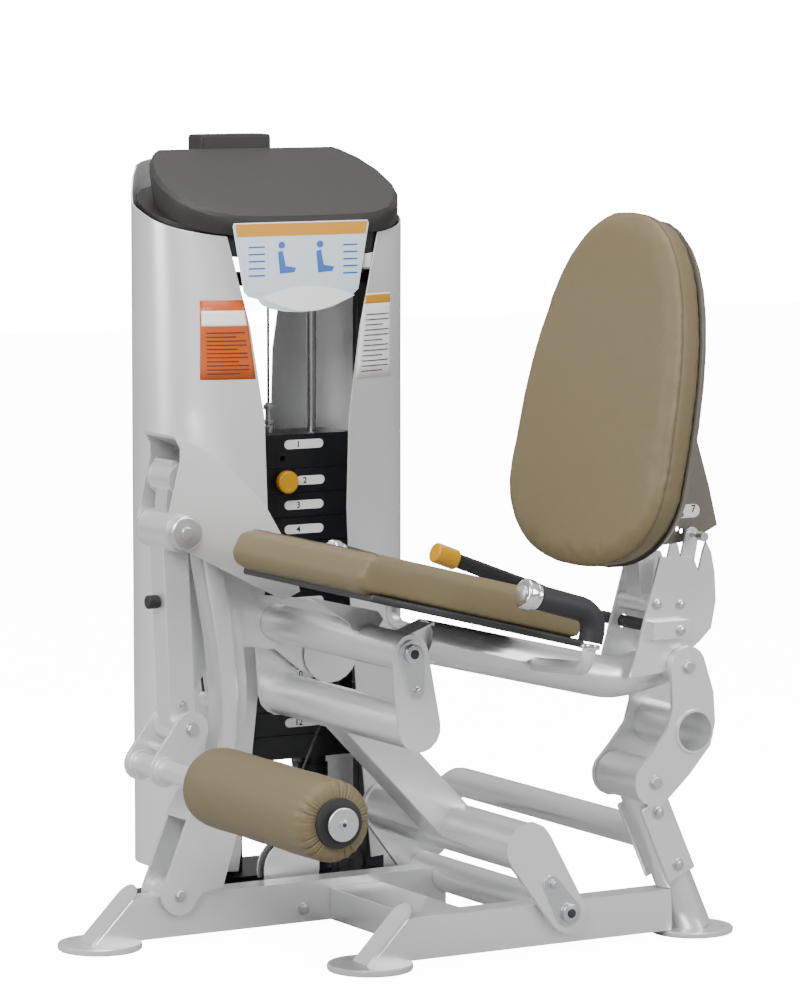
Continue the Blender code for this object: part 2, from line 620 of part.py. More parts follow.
def tower():
    """Weight tower: frame, shroud, placard, rods, plates, selector, pulleys and lift cable."""
    base_low, base_high = TOWER[0] - 0.115, TOWER[0] + 0.112
    bars = []
    for y in (TOWER[1] - 0.200, TOWER[1] + 0.121):
        bars.append(box((base_low, y, 0.011), (-RAIL_W / 2 - GAP, y + 0.050, 0.055)))
    for x in (base_low + 0.002, base_high - 0.052):
        bars.append(box((x, TOWER[1] - 0.1995, 0.0115), (x + 0.050, TOWER[1] + 0.1995, 0.0545)))
    deck = box((TOWER[0] - 0.110, TOWER[1] - 0.165, 0.054), (TOWER[0] + 0.070, TOWER[1] + 0.165, 0.062))
    columns = []
    for side in (-1, 1):
        y = TOWER[1] + side * 0.215
        columns.append(box((TOWER[0] - 0.025, y - 0.019, 0.030), (TOWER[0] + 0.025, y + 0.019, 1.180)))
    bridge = box((TOWER[0] - 0.024, TOWER[1] - 0.233, 1.160), (TOWER[0] + 0.024, TOWER[1] + 0.233, 1.184))

    node("shroud_wing_front", wing(-1), "shroud_paint", 50)
    node("shroud_wing_rear", wing(1), "shroud_paint", 50)
    node("tower_cap", tower_cap(), "dark_plastic", 40)

    x_face = TOWER[0] + TOWER_HALF_DEPTH + 0.0066
    middle = 0.471
    placard = [(-0.139, 1.284), (-0.142, 1.278), (-0.120, 1.158), (-0.110, 1.149)]
    placard += [(-0.090 * math.cos(math.pi * k / 8), 1.144 - 0.026 * math.sin(math.pi * k / 8))
                for k in range(9)]
    placard += [(0.110, 1.149), (0.120, 1.158), (0.142, 1.278), (0.139, 1.284)]
    placard = [(middle + u, v) for u, v in placard]
    node("placard", outline_x(placard, x_face, x_face + 0.003), "dark_plastic")

    rods = []
    for side in (-1, 1):
        y = TOWER[1] + side * ROD_SPACING / 2
        rods.append(cylinder_z((TOWER[0], y), 0.0095, 0.0623, 1.1597, 12))
    node("guide_rod_front", rods[0], "chrome")
    node("guide_rod_rear", rods[1], "chrome")
    risers = []
    for side in (-1, 1):
        y = TOWER[1] + side * ROD_SPACING / 2
        block = union(cylinder_z((TOWER[0], y), 0.030, 0.0605, STACK_BASE - 0.020, 16),
                      cylinder_z((TOWER[0], y), 0.026, STACK_BASE - 0.022, STACK_BASE - GAP, 16))
        risers.append(cut(block, cylinder_z((TOWER[0], y), 0.0102, 0.0622, 0.5, 12)))

    node("weight_plates_resting", resting_stack(), "black_paint")
    second = STACK_BASE + (PLATE_COUNT - 2) * PLATE_PITCH
    top = second + PLATE_PITCH
    plate = weight_plate(*TOWER, second)
    pin_z = second + PLATE_PITCH / 2
    bore = cylinder_x((TOWER[1], pin_z), 0.0052, TOWER[0] - 0.02, TOWER[0] + 0.1, 12)
    node("weight_plate_second", cut(plate, bore), "black_paint")
    head = weight_plate(*TOWER, top, height=HEAD_HEIGHT)
    hole = cylinder_x((TOWER[1], top + 0.019), 0.0052, TOWER[0] + 0.02, TOWER[0] + 0.1, 12)
    node("head_plate", cut(head, hole), "black_paint")

    rod_top = top + HEAD_HEIGHT
    rod = cylinder_z(TOWER, 0.0125, STACK_BASE + 0.012, rod_top + 0.012, 12)
    rod = cut(rod, cylinder_x((TOWER[1], pin_z), 0.0056, TOWER[0] - 0.05, TOWER[0] + 0.05, 12))
    stud = union(cylinder_z(TOWER, 0.0060, rod_top + 0.0100, rod_top + 0.056, 12),
                 cylinder_z(TOWER, 0.0110, rod_top + 0.016, rod_top + 0.024, 6),
                 cylinder_z(TOWER, 0.0110, rod_top + 0.044, rod_top + 0.052, 6))
    node("selector_rod", union(rod, stud), "zinc")

    front_x = TOWER[0] + 0.055
    pin = cylinder_x((TOWER[1], pin_z), 0.0048, TOWER[0] - 0.012, front_x + 0.010, 12)
    node("selector_pin", pin, "zinc")
    knob = cylinder_x((TOWER[1], pin_z), 0.0215, front_x + 0.0103, front_x + 0.026, 24)
    node("selector_knob", rim(knob, 0.004, 2), "yellow_plastic")

    # the lift cable goes up from the stack, over two pulleys and down inside the rear wing
    rim_r, cable_r = 0.036, 0.0024
    groove = rim_r - 0.003
    fall = (-0.140, 0.612)
    along = Vector(fall) - Vector(TOWER)
    span = along.length
    place = level_frame((*TOWER, 1.225), along)
    sideways = place.to_3x3() @ Vector((0.0, 1.0, 0.0))
    node("top_pulley_front", pulley(place @ Vector((groove, 0, 0)), rim_r, sideways), "dark_plastic")
    node("top_pulley_rear", pulley(place @ Vector((span - groove, 0, 0)), rim_r, sideways), "dark_plastic")
    carrier = box((-0.022, -0.0143, -0.0415), (span + 0.010, 0.0143, -0.0375))
    for offset in (-0.0125, 0.0125):
        cheek = box((groove - 0.016, offset - 0.0018, -0.040),
                    (span - groove + 0.016, offset + 0.0018, 0.014))
        carrier = union(carrier, cheek)
    holes = [cylinder_z((0.0, 0.0), 0.007, -0.06, 0.0, 12), cylinder_z((span, 0.0), 0.007, -0.06, 0.0, 12)]
    carrier = cut(carrier, *holes)
    axles = [bar((u, -0.0112, 0.0), (u, 0.0112, 0.0), 0.0076, 12) for u in (groove, span - groove)]
    carrier = union(carrier, *axles)
    carrier.matrix_world = place
    carrier = baked(carrier)
    slot = cylinder_z(TOWER, 0.007, 1.10, 1.30, 12)
    frame = union(*bars, deck, *columns, cut(bridge, slot), carrier)

    cable = [(*TOWER, rod_top + 0.0563), (*TOWER, 1.2232)]
    node("lift_cable_front", tube(cable, cable_r, 1), "steel_rope")

    low_z = BASE_PULLEY[2] - BASE_PULLEY_R + 0.003
    target = Vector((BASE_PULLEY[0], BASE_PULLEY[1]))
    run = target - Vector(fall)
    foot = level_frame((*fall, low_z + groove), run)
    across = foot.to_3x3() @ Vector((0.0, 1.0, 0.0))
    node("low_pulley", pulley(foot @ Vector((groove, 0, 0)), rim_r, across), "dark_plastic")
    holder = union(box((groove - 0.014, -0.0150, -0.048), (groove + 0.014, -0.0110, 0.012)),
                   bar((groove, -0.0112, 0.0), (groove, 0.0100, 0.0), 0.0076, 12))
    holder.matrix_world = foot
    holder = union(baked(holder), box((base_high - 0.006, 0.566, 0.036), (-0.1405, 0.588, 0.048)))
    feet = [floor_plate(TOWER[0] - 0.09, TOWER[1] + side * 0.19, 3.1, 0.012) for side in (-1, 1)]
    node("tower_frame", union(frame, holder, *risers, *feet), "black_paint")

    lift = [(*TOWER, 1.2250)]
    for start, stop, middle in ((165, 90, groove), (90, 0, span - groove)):
        for u, v in arc((middle, 0.0), groove, start, stop, round(abs(start - stop) / 15)):
            lift.append(place @ Vector((u, 0.0, v)))
    for u, v in arc((groove, 0.0), groove, 180, 270, 6):
        lift.append(foot @ Vector((u, 0.0, v)))
    y, z, r = BASE_PULLEY[1], BASE_PULLEY[2], BASE_PULLEY_R - 0.003
    lift.append((BASE_PULLEY[0], y + 0.030, z - r))
    for u, v in arc((y, z), r, 270, 195, 6):
        lift.append((BASE_PULLEY[0], u, v))
    node("lift_cable_rear", tube([tuple(q) for q in lift], cable_r, 1), "steel_rope")


# ---------------------------------------------------------------- ground link
def ground_link():
    """Curved tube that ties the head of the lever arm to the floor."""
    half = 0.028
    front = [(0.171, 0.262), (0.216, 0.305), (0.2315, 0.37), (0.233, 0.43), (0.2295, 0.48), (0.222, 0.545),
             (0.209, 0.62), (0.1995, 0.67), (0.192, 0.72), (0.187, 0.765), (0.181, 0.800)]
    depth = 0.040
    back = []
    for index, point in enumerate(front):
        a = Vector(front[max(index - 1, 0)])
        b = Vector(front[min(index + 1, len(front) - 1)])
        along = (b - a).normalized()
        back.append((point[0] + along.y * depth, point[1] - along.x * depth))
    back[0] = (0.262, 0.262)
    outline = front + back[::-1]
    tube_piece = rim(outline_x(outline, -half, half), 0.009, 2, 60)
    plates = []
    for x in (0.0338, -0.0418):
        side = arc(LINK_BASE, 0.036, 165, 345, 9) + [(0.192, 0.094), (0.228, 0.096), (0.252, 0.175),
                                                       (0.268, 0.262), (0.279, 0.315), (0.262, 0.325),
                                                       (0.218, 0.300), (0.166, 0.245)]
        plates.append(outline_x(side, x, x + 0.008, [(LINK_BASE, 0.0090, 16)]))
    web = outline_x([(0.2185, 0.122), (0.2265, 0.122), (0.2605, 0.268), (0.2525, 0.268)], -0.036, 0.036)
    collar = outline_x([(0.150, 0.226), (0.160, 0.224), (0.182, 0.260), (0.262, 0.262), (0.266, 0.300),
                        (0.218, 0.300), (0.176, 0.268)], -0.034, 0.034)
    ears = []
    for x in (0.0358, -0.0428):
        ear = capsule(LINK_HEAD, (0.1975, 0.7695), 0.029, 0.0145)
        ears.append(outline_x(ear, x, x + 0.007))
    cheeks = [outline_x(capsule((0.196, 0.775), (0.203, 0.738), 0.016, 0.016), x0, x1)
              for x0, x1 in ((0.026, 0.0368), (-0.0368, -0.026))]
    rib = outline_x([(0.262, 0.33), (0.300, 0.39), (0.302, 0.46), (0.292, 0.55), (0.268, 0.62), (0.240, 0.64),
                     (0.240, 0.33)], -0.012, -0.004)
    anchor = cylinder_x((0.244, 0.427), 0.011, -0.0620, -0.0260, 16)
    body = union(tube_piece, collar, web, *plates, *cheeks, *ears, rib, anchor)
    node("ground_link", body, "silver_paint")
    node("link_base_pin", through_pin(LINK_BASE, 0.0082, -0.0418 - GAP, 0.0418 + GAP), "zinc")


# ---------------------------------------------------------------- lever arm and roller
def lever_arm():
    """Arm that swings at the knee, with its pivot shaft and rubber stop."""
    half = 0.0254
    corners = [(ARM_PIVOT[0] - half, ARM_PIVOT[1]), (SWING[0] - half - 0.004, SWING[1] + 0.01),
               (SWING[0] + half - 0.004, SWING[1] + 0.01), (ARM_PIVOT[0] + half, ARM_PIVOT[1])]
    tube_piece = rim(outline_x(corners[::-1], -half, half), 0.004, 2, 60)
    neck = outline_x([(ARM_PIVOT[0] - 0.019, ARM_PIVOT[1]), (LINK_HEAD[0] - 0.019, LINK_HEAD[1]),
                      (LINK_HEAD[0] + 0.019, LINK_HEAD[1]), (ARM_PIVOT[0] + 0.019, ARM_PIVOT[1])][::-1],
                     -0.022, 0.022)
    hub = cylinder_x(ARM_PIVOT, 0.036, -0.0545, 0.0545, 32)
    head = cylinder_x(LINK_HEAD, 0.027, -0.0352, 0.0352, 28)
    knuckle = cylinder_x(SWING, 0.029, -0.0435, 0.0435, 28)
    stop = cylinder_x((LINK_HEAD[0] - 0.012, LINK_HEAD[1] + 0.028), 0.0060, -0.0350, 0.0350, 12)
    arm = union(tube_piece, neck, hub, head, knuckle, stop)
    arm = cut(arm, cylinder_x(ARM_PIVOT, 0.0126, -0.1, 0.1, 16), cylinder_x(SWING, 0.0105, -0.1, 0.1, 16))
    node("lever_arm", arm, "silver_paint")
    cap = cylinder_x(ARM_PIVOT, 0.031, 0.0592, 0.074, 28)
    far = cylinder_x(ARM_PIVOT, 0.030, -0.072, -0.0592, 24)
    shaft = cylinder_x(ARM_PIVOT, 0.0115, -0.065, 0.0775, 16)
    node("arm_pivot_pin", union(shaft, rim(cap, 0.003, 1), rim(far, 0.003, 1)), "zinc")
    y = between(ARM_PIVOT, SWING, 0.36)[0] - half
    z = between(ARM_PIVOT, SWING, 0.36)[1]
    stem = bar((0.0, y - 0.0255, z), (0.0, y - 0.0025, z), 0.0125, 16)
    node("arm_bumper", rim(stem, 0.003, 2), "rubber")


def roller():
    """Shin roller on its swing plates."""
    plates = []
    for x in (0.0440, -0.0520):
        plates.append(outline_x(capsule(SWING, ROLLER, 0.033, 0.031, 8), x, x + 0.008, [(SWING, 0.0105, 16)]))
    axle = cylinder_x(ROLLER, 0.019, -0.0560, 0.190, 24)
    collars = [cylinder_x(ROLLER, 0.024, 0.0510, 0.060, 22), cylinder_x(ROLLER, 0.024, -0.0455, -0.038, 22)]
    core = cylinder_x(ROLLER, 0.0125, 0.185, 0.690, 18)
    web = cylinder_x(between(SWING, ROLLER, 0.56), 0.008, -0.047, 0.047, 12)
    node("roller_bracket", union(*plates, axle, *collars, core, web), "silver_paint")
    node("swing_pin", through_pin(SWING, 0.0095, -0.0520 - GAP, 0.0520 + GAP, 0.0105), "zinc")
    node("roller_end_cap", rim(cylinder_x(ROLLER, 0.029, 0.6903, 0.6960, 28), 0.0015, 1), "zinc")

    end = (0.236, *ROLLER)
    facing = (1.0, 0.0, 0.0)
    profile = [(0.022, 0.436), (0.052, 0.436), (0.066, 0.424), (0.0705, 0.405), (0.0705, 0.030),
               (0.066, 0.012), (0.058, 0.0), (0.022, 0.0)]
    node("roller_pad", turned(profile, end, facing, 24), "vinyl")
    profile = [(0.0130, 0.4430), (0.043, 0.4430), (0.043, 0.4363), (0.0217, 0.4363), (0.0217, 0.0005),
               (0.0130, 0.0005)]
    node("roller_sleeve", turned(profile, end, facing, 20), "rubber")


# ---------------------------------------------------------------- front rocker
def front_rocker():
    """Wide H-shaped link that carries the front of the seat frame."""
    low = (0.628, 0.193)
    high = (0.405, 0.424)
    big = cylinder_x(low, 0.0445, -0.0680, OUTER_X + 0.0400, 28)
    upper = cylinder_x(high, 0.0390, -0.0680, OUTER_X + 0.0360, 28)
    direction = (Vector(high) - Vector(low)).normalized()
    normal = Vector((-direction.y, direction.x))
    half = 0.0385
    corners = [Vector(low) + normal * half, Vector(high) + normal * half,
               Vector(high) - normal * half, Vector(low) - normal * half]
    arm = outline_x([tuple(p) for p in corners], 0.139, 0.215)
    frame = union(big, upper, rim(arm, 0.006, 2, 60))
    plates = [outline_x(capsule(low, FRONT_LOW, 0.0475, 0.037, 8), OUTER_X + 0.0352, OUTER_X + 0.0452),
              outline_x(capsule(high, FRONT_TOP, 0.042, 0.034, 8), OUTER_X + 0.0322, OUTER_X + 0.0402),
              outline_x(capsule(low, FRONT_LOW, 0.0475, 0.037, 8), -0.0740, -0.0640),
              outline_x(capsule(high, FRONT_TOP, 0.042, 0.034, 8), -0.0720, -0.0640,
                        [(FRONT_TOP, 0.0142, 16)])]
    studs = [cylinder_x(FRONT_LOW, 0.0118, OUTER_X + 0.0180, OUTER_X + 0.0400, 16),
             cylinder_x(FRONT_LOW, 0.0118, -0.0700, -0.0480, 16),
             cylinder_x(FRONT_TOP, 0.0118, OUTER_X + 0.0150, OUTER_X + 0.0360, 16)]
    keepers = []
    for pivot, other, x in ((FRONT_TOP, high, OUTER_X + 0.0397), (FRONT_LOW, low, OUTER_X + 0.0447)):
        tail = Vector(between(pivot, other, 0.066 / (Vector(other) - Vector(pivot)).length))
        keeper = outline_x(capsule(pivot, tail, 0.0235, 0.0145, 6), x, x + 0.0045)
        boss = cylinder_x(pivot, 0.0165, x + 0.0038, x + 0.0110, 20)
        keepers.append(union(keeper, boss))
    node("front_rocker", union(frame, *plates, *studs, *keepers), "silver_paint")


# ---------------------------------------------------------------- rear rocker
def rear_rocker():
    """Pair of bent plates that carries the back of the seat frame."""
    back = [(0.910, 0.269), (0.949, 0.304), (0.993, 0.353), (1.003, 0.395), (0.999, 0.450)]
    front = [(0.909, 0.470), (0.911, 0.425), (0.899, 0.385), (0.868, 0.348)]
    outline = arc(REAR_LOW, 0.043, 150, 318, 8) + back + arc(REAR_TOP, 0.037, 25, 195, 8) + front
    hole = (0.957, 0.381)
    plates = []
    for x in (OUTER_X + 0.0650, OUTER_X - 0.0730):
        plates.append(outline_x(outline, x, x + 0.008, [(hole, 0.036, 24), (REAR_LOW, 0.0110, 16),
                                                        (REAR_TOP, 0.0110, 16)]))
    ring = [(hole, 0.0355, 24)]
    sleeve = outline_x(arc(hole, 0.0400, 0, 345, 23), OUTER_X - 0.0765, OUTER_X + 0.0765, ring)
    node("rear_rocker", union(*plates, sleeve), "silver_paint")
    reach = 0.0730 + GAP
    node("rear_low_pin", through_pin(REAR_LOW, 0.0102, OUTER_X - reach, OUTER_X + reach, 0.0105), "zinc")
    node("rear_top_pin", through_pin(REAR_TOP, 0.0102, OUTER_X - reach, OUTER_X + reach, 0.0105), "zinc")


# ---------------------------------------------------------------- seat frame
def seat_frame():
    """Seat tube, hood and brackets; returns the plate beside the stack, which the pulleys join."""
    path = [(OUTER_X, 0.430, 0.5735), (OUTER_X, 0.830, 0.4765, 0.16), (OUTER_X, *REAR_TOP)]
    main = tube(path, 0.038, 4, 5)
    pivot = union(cylinder_x(FRONT_TOP, 0.034, -0.0500, OUTER_X + 0.0317, 28),
                  cylinder_x(FRONT_TOP, 0.0135, -0.0740, -0.0490, 16))
    hub = cylinder_x(REAR_TOP, 0.036, OUTER_X - 0.0645, OUTER_X + 0.0645, 28)
    gusset = [(0.268, 0.6480), (0.300, 0.628), (0.345, 0.598), (0.352, 0.585), (0.372, 0.580), (0.400, 0.580),
              (0.415, 0.600), (0.404, 0.6150)]
    link = outline_x([(0.395, 0.530), (0.445, 0.535), (0.445, 0.608), (0.395, 0.590)],
                     OUTER_X - 0.030, OUTER_X + 0.022)
    pieces = [main, hub, link, pivot, outline_x(gusset, OUTER_X - 0.110, OUTER_X - 0.104)]
    for side in (-1, 1):
        x = OUTER_X + side * HANDLE_REACH
        root = (OUTER_X + side * 0.020, 0.647, 0.5190)
        pieces.append(tube([root, (x, 0.561, 0.5555, 0.034), (x, 0.567, 0.5915)], 0.0127, 2, 4))
    bores = [cylinder_x(REAR_TOP, 0.0128, 0.3, 0.5, 16),
             cylinder_x(FRONT_TOP, 0.0126, OUTER_X + 0.012, OUTER_X + 0.050, 16)]
    node("seat_tube", cut(union(*pieces), *bores), "silver_paint")

    top = [(0.123, 0.920), (0.177, 0.896), (0.227, 0.864), (0.272, 0.824), (0.308, 0.786), (0.349, 0.718),
           (0.3790, 0.6260)]
    front_edge = [(0.1290, 0.722)] + arc(ARM_PIVOT, 0.037, 235, 155, 5)
    front_edge += [(0.119, 0.806), (0.136, 0.874), (0.136, 0.897)]
    bottom = [(0.345, 0.612)]
    side = front_edge + top + bottom
    side.reverse()
    inner_top = [(0.05, 0.938), (0.120, 0.9165)]
    inner_top += [(y - 0.0022, z - 0.0022) for y, z in top[1:-1]] + [(0.3765, 0.6200)]
    cavity = [(0.05, 0.60), (0.370, 0.50)] + inner_top[::-1]
    hood = cut(outline_x(side, -0.0588, 0.0588), outline_x(cavity, -0.0562, 0.0562),
               cylinder_x(ARM_PIVOT, 0.0125, -0.1, 0.1, 16))
    node("front_hood", hood, "silver_paint")

    far = [(0.352, 0.6100), (0.430, 0.600), (0.560, 0.5650), (0.560, 0.500), (0.500, 0.456), (0.436, 0.466),
           (0.384, 0.508), (0.311, 0.519), (0.262, 0.519), (0.215, 0.440), (0.198, 0.440), (0.196, 0.560),
           (0.190, 0.6930)]
    far_plate = outline_x(far, -0.0495, -0.0435, [(FRONT_TOP, 0.0346, 24)])

    outline = [(0.831, 0.484), (0.903, 0.490), (0.959, 0.526), (0.980, 0.541), (1.004, 0.563),
               (1.014, 0.613), (1.011, 0.664), (1.003, 0.701), (0.992, 0.721), (0.985, 0.702),
               (0.976, 0.668), (0.964, 0.695), (0.894, 0.698)]
    brackets = []
    for x in (OUTER_X + 0.050, OUTER_X - 0.056):
        plate = outline_x(outline, x, x + 0.006, [(LEVER_PIVOT, 0.0125, 16)])
        brackets.append(cut(plate, cylinder_x(REAR_TOP, 0.0367, x - 0.01, x + 0.02)))
    tie = cylinder_x((0.956, 0.572), 0.010, OUTER_X - 0.0505, OUTER_X + 0.0505, 16)
    lug_outline = capsule((0.950, 0.680), lock_place(), 0.016, 0.014, 6)
    lug = outline_x(lug_outline, OUTER_X + 0.0505, OUTER_X + 0.0555, [(lock_place(), 0.0047, 12)])
    stop_bar = box((OUTER_X + 0.0550, 0.868, 0.552), (OUTER_X + 0.0743, 0.945, 0.584))
    node("rear_brackets", union(*brackets, tie, lug, stop_bar), "silver_paint")
    return far_plate


def seat():
    """Seat board and pad, and the two hand grips."""
    half = SEAT_WIDTH / 2
    board = [seat_point(0.035, -GAP), seat_point(SEAT_LENGTH + 0.006, -GAP),
             seat_point(SEAT_LENGTH + 0.006, -BOARD_T), seat_point(0.035, -BOARD_T)]
    board = outline_x(board[::-1], OUTER_X - half + 0.012, OUTER_X + half - 0.004)
    node("seat_board", rim(board, 0.003, 1), "dark_plastic")
    pad = [seat_point(0.010, 0.0), seat_point(0.0, 0.020), seat_point(0.010, PAD_T - 0.006),
           seat_point(0.030, PAD_T), seat_point(SEAT_LENGTH - 0.012, PAD_T),
           seat_point(SEAT_LENGTH, PAD_T - 0.014), seat_point(SEAT_LENGTH, 0.0)]
    pad = outline_x(pad[::-1], OUTER_X - half, OUTER_X + half)
    node("seat_pad", rim(pad, 0.012, 2, 60), "vinyl")
    grips, caps = [], []
    for side in (-1, 1):
        x = OUTER_X + side * HANDLE_REACH
        grip = [(x, 0.568, 0.6003), (x, 0.580, 0.6500, 0.034), (x, 0.462, 0.6850)]
        grips.append(tube(grip, 0.0215, 4, 5))
        caps.append(union(rim(bar((x, 0.4617, 0.6851), (x, 0.4500, 0.6886), 0.0235, 20), 0.003, 1),
                          rim(bar((x, 0.4520, 0.6880), (x, 0.4320, 0.6940), 0.0265, 20), 0.005, 2)))
    for side, grip, cap in zip(("right", "left"), grips, caps):
        node(f"handle_grip_{side}", grip, "rubber")
        node(f"handle_cap_{side}", cap, "chrome")


def pulley_set(side_plate):
    """The cable pulleys on the seat and on the floor frame, and their guards."""
    node("link_pulley", pulley(LINK_PULLEY, SEAT_PULLEY_R, width=0.012), "dark_plastic")
    node("seat_pulley", pulley(SEAT_PULLEY, SEAT_PULLEY_R, width=0.012), "dark_plastic")
    stubs = [cylinder_x(centre[1:], 0.0075, -0.0660, -0.0450, 12) for centre in (LINK_PULLEY, SEAT_PULLEY)]
    guard = outline_x(arc(SEAT_PULLEY[1:], 0.056, 150, 390, 14), -0.0410, -0.0370)
    spacer = cylinder_x(SEAT_PULLEY[1:], 0.010, -0.0450, -0.0400, 12)
    node("seat_side_plate", union(side_plate, *stubs, guard, spacer), "silver_paint")

    node("base_pulley", pulley(BASE_PULLEY, BASE_PULLEY_R), "dark_plastic")
    centre = BASE_PULLEY[1:]
    outline = arc(centre, 0.058, -5, 185, 14) + [(centre[0] - 0.050, 0.030), (centre[0] + 0.050, 0.030)]
    cheeks = [outline_x(outline, -0.0500, -0.0460),
              outline_x(arc(centre, 0.058, -15, 195, 14), -0.0770, -0.0730)]
    axle = cylinder_x(centre, 0.0075, -0.0750, -0.0480, 12)
    foot = box((-0.0760, centre[0] - 0.030, 0.030), (-RAIL_W / 2 - GAP, centre[0] + 0.030, 0.036))
    node("base_pulley_guard", union(*cheeks, axle, foot), "silver_paint")

    # the drive cable leaves the base pulley on its front and passes behind the seat pulley
    low = Vector(BASE_PULLEY[1:])
    high = Vector(SEAT_PULLEY[1:])
    r_low, r = BASE_PULLEY_R - 0.003, SEAT_PULLEY_R - 0.003
    gap = high - low
    heading = math.atan2(gap.y, gap.x) - math.asin((r_low + r) / gap.length)
    side = Vector((-math.sin(heading), math.cos(heading)))
    start = low + side * r_low
    drive = [(BASE_PULLEY[0], start.x, start.y)]
    for u, v in arc(SEAT_PULLEY[1:], r, math.degrees(heading) - 90, 78, 8):
        drive.append((SEAT_PULLEY[0], u, v))
    for u, v in arc(LINK_PULLEY[1:], r, 78, 180, 8):
        drive.append((LINK_PULLEY[0], u, v))
    drive.append((LINK_PULLEY[0], 0.242, 0.4395))
    node("drive_cable", tube(drive, 0.0024, 1), "steel_rope")


# ---------------------------------------------------------------- back rest
def back_rest():
    """Egg-shaped pad and shell on a bent bar, with a sector plate that sets the angle."""
    lean = Vector((0.0, 0.127, 0.638)).normalized()
    normal = Vector((0.0, -lean.z, lean.y))
    foot_point = Vector((OUTER_X, 0.731, 0.687))
    thick = 0.056

    def on_back(along, out):
        """(y, z) of a place along the back rest, and out from its front."""
        place = foot_point + lean * along + normal * out
        return place.y, place.z

    def egg(angle):
        """Half width and height of the outline; its widest place is low down."""
        s, c = math.sin(angle), math.cos(angle)
        if s < 0:
            power, length = 2.3, 0.174
        else:
            power, length = 2.45, 0.478
        u = 0.260 * math.copysign(abs(c) ** (2 / power), c)
        v = 0.170 + length * math.copysign(abs(s) ** (2 / power), s)
        return u, v

    def slab(layers, count=40):
        """A body built up from outlines, each (distance out, inset)."""
        bm = bmesh.new()
        rings = []
        for out, shrink in layers:
            ring = []
            for index in range(count):
                u, v = egg(2 * math.pi * index / count)
                u, v = u * (1 - shrink / 0.250), 0.300 + (v - 0.300) * (1 - shrink / 0.300)
                place = foot_point + lean * v + normal * out
                ring.append(bm.verts.new((OUTER_X + u, place.y, place.z)))
            rings.append(ring)
        for below, above in zip(rings, rings[1:]):
            for index in range(count):
                following = (index + 1) % count
                bm.faces.new((below[index], below[following], above[following], above[index]))
        bm.faces.new(rings[0][::-1])
        bm.faces.new(rings[-1])
        return to_object(bm)

    pad = slab([(-thick, 0.010), (-0.012, 0.0), (-0.004, 0.004), (0.0, 0.014)])
    node("back_pad", pad, "vinyl", 50)
    shell = slab([(-thick - 0.020, 0.040), (-thick - 0.014, 0.020), (-thick - GAP, 0.011)])
    node("back_shell", shell, "taupe_paint", 50)

    rear = -thick - 0.0203
    hub = cylinder_x(BACK_PIVOT, 0.0165, OUTER_X - 0.0495, OUTER_X + 0.0495, 24)
    spine = outline_x([(BACK_PIVOT[0] - 0.010, BACK_PIVOT[1]), (BACK_PIVOT[0] + 0.012, BACK_PIVOT[1]),
                       (0.903, 0.690), (0.925, 0.860), on_back(0.320, rear - 0.016), on_back(0.320, rear),
                       on_back(0.060, rear), (0.868, 0.700)], OUTER_X - 0.022, OUTER_X + 0.022)
    node("back_frame", union(hub, spine), "silver_paint")
    sector = [on_back(0.280, rear), on_back(0.030, rear), (0.905, 0.716), (0.960, 0.720), (1.000, 0.733),
              (1.030, 0.746), (1.012, 0.817), (0.981, 0.916), (0.955, 0.965)]
    holes = []
    for step in range(7):
        holes.append((lock_place(step), 0.0047, 10))
    sector_piece = outline_x(sector[::-1], OUTER_X + 0.0300, OUTER_X + 0.0350, holes)
    node("back_sector_plate", sector_piece, "taupe_paint")

    # the plunger passes through the lug of the near bracket into a hole of the sector plate
    pin = union(cylinder_x(lock_place(), 0.0042, OUTER_X + 0.0290, OUTER_X + 0.0800, 12),
                cylinder_x(lock_place(), 0.0085, OUTER_X + 0.0780, OUTER_X + 0.0960, 16))
    node("lock_pin", pin, "zinc")


def release_lever():
    """The long lever beside the seat and the cross rod it turns."""
    x = LEVER_X
    y, z = LEVER_PIVOT
    rod = cylinder_x(LEVER_PIVOT, 0.0110, x - 0.010, OUTER_X + 0.0546, 16)
    arm = tube([(x, y, z), (x, 0.843, 0.604, 0.03), (x, 0.6603, 0.6736)], 0.0140, 3, 3)
    node("release_lever", union(rod, arm), "rubber")
    tip = rim(bar((x, 0.6600, 0.6737), (x, 0.6150, 0.6909), 0.0190, 20), 0.003, 2)
    node("lever_yellow_tip", tip, "yellow_plastic")


base_frame()
tower()
ground_link()
lever_arm()
roller()
front_rocker()
rear_rocker()
side_plate = seat_frame()
seat()
pulley_set(side_plate)
back_rest()
release_lever()
for obj in list(CUTTERS.objects):
    obj.hide_render = True
    obj.display_type = "WIRE"
for obj in PARTS.objects:
    obj.location -= ORIGIN
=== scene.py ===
"""Studio picture of the leg extension machine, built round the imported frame."""
import json
import math

import bmesh
import bpy
from mathutils import Matrix, Vector


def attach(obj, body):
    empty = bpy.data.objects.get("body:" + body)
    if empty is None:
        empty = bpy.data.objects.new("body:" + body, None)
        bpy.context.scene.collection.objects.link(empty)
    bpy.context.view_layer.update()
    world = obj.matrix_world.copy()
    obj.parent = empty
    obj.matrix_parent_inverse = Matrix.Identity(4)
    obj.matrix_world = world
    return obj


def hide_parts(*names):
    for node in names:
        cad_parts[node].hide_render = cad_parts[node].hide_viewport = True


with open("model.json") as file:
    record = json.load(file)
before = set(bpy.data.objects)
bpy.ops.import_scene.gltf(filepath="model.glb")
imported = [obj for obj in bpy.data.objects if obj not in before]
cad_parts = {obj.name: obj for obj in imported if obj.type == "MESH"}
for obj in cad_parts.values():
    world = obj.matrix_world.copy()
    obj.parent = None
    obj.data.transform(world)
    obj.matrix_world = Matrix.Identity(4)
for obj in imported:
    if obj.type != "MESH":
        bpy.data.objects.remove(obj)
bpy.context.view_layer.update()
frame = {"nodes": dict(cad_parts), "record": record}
nodes = frame["nodes"]
ORIGIN = Vector((0.1667, 0.5015, 0.0))   # from the corner the layout is measured from


